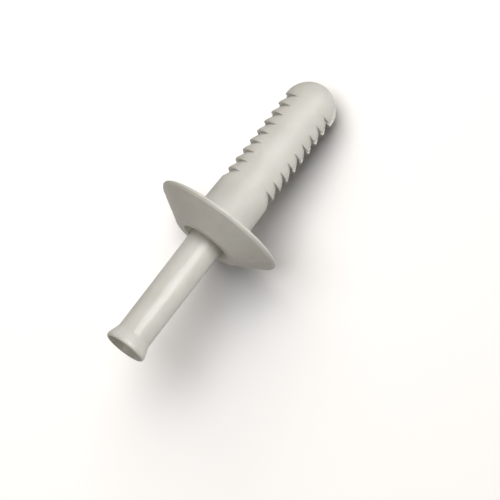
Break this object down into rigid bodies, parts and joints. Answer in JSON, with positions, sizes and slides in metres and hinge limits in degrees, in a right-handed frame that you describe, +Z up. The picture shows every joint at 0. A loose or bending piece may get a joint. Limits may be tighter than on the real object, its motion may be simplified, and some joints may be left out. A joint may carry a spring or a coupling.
{
  "type": "drive rivet",
  "caption": "Natural nylon drive rivet: conical head, barbed split shank and a flared hollow drive pin that is hammered flush to lock it in a hole.",
  "frame": {"origin": "on the surface that the rivet lies on, under the middle of its bounding box", "axes": "+Z up, +X level and along the rivet from its drive pin towards its nose, +Y across it; the rivet's own axis dips 15.35 degrees towards +X"},
  "size_m": [0.0368, 0.0154, 0.015],
  "materials": {
    "body_nylon": "natural off-white moulded nylon, satin",
    "pin_nylon": "natural off-white moulded nylon, slightly glossy"
  },
  "bodies": {
    "body": {"rivet_body": "body_nylon"},
    "pin": {"drive_pin": "pin_nylon"}
  },
  "joints": [
    {"name": "pin_drive", "type": "slide", "parent": "body", "child": "pin", "axis": [0.9643, 0, -0.2647], "range_m": [0, 0.0151]}
  ]
}
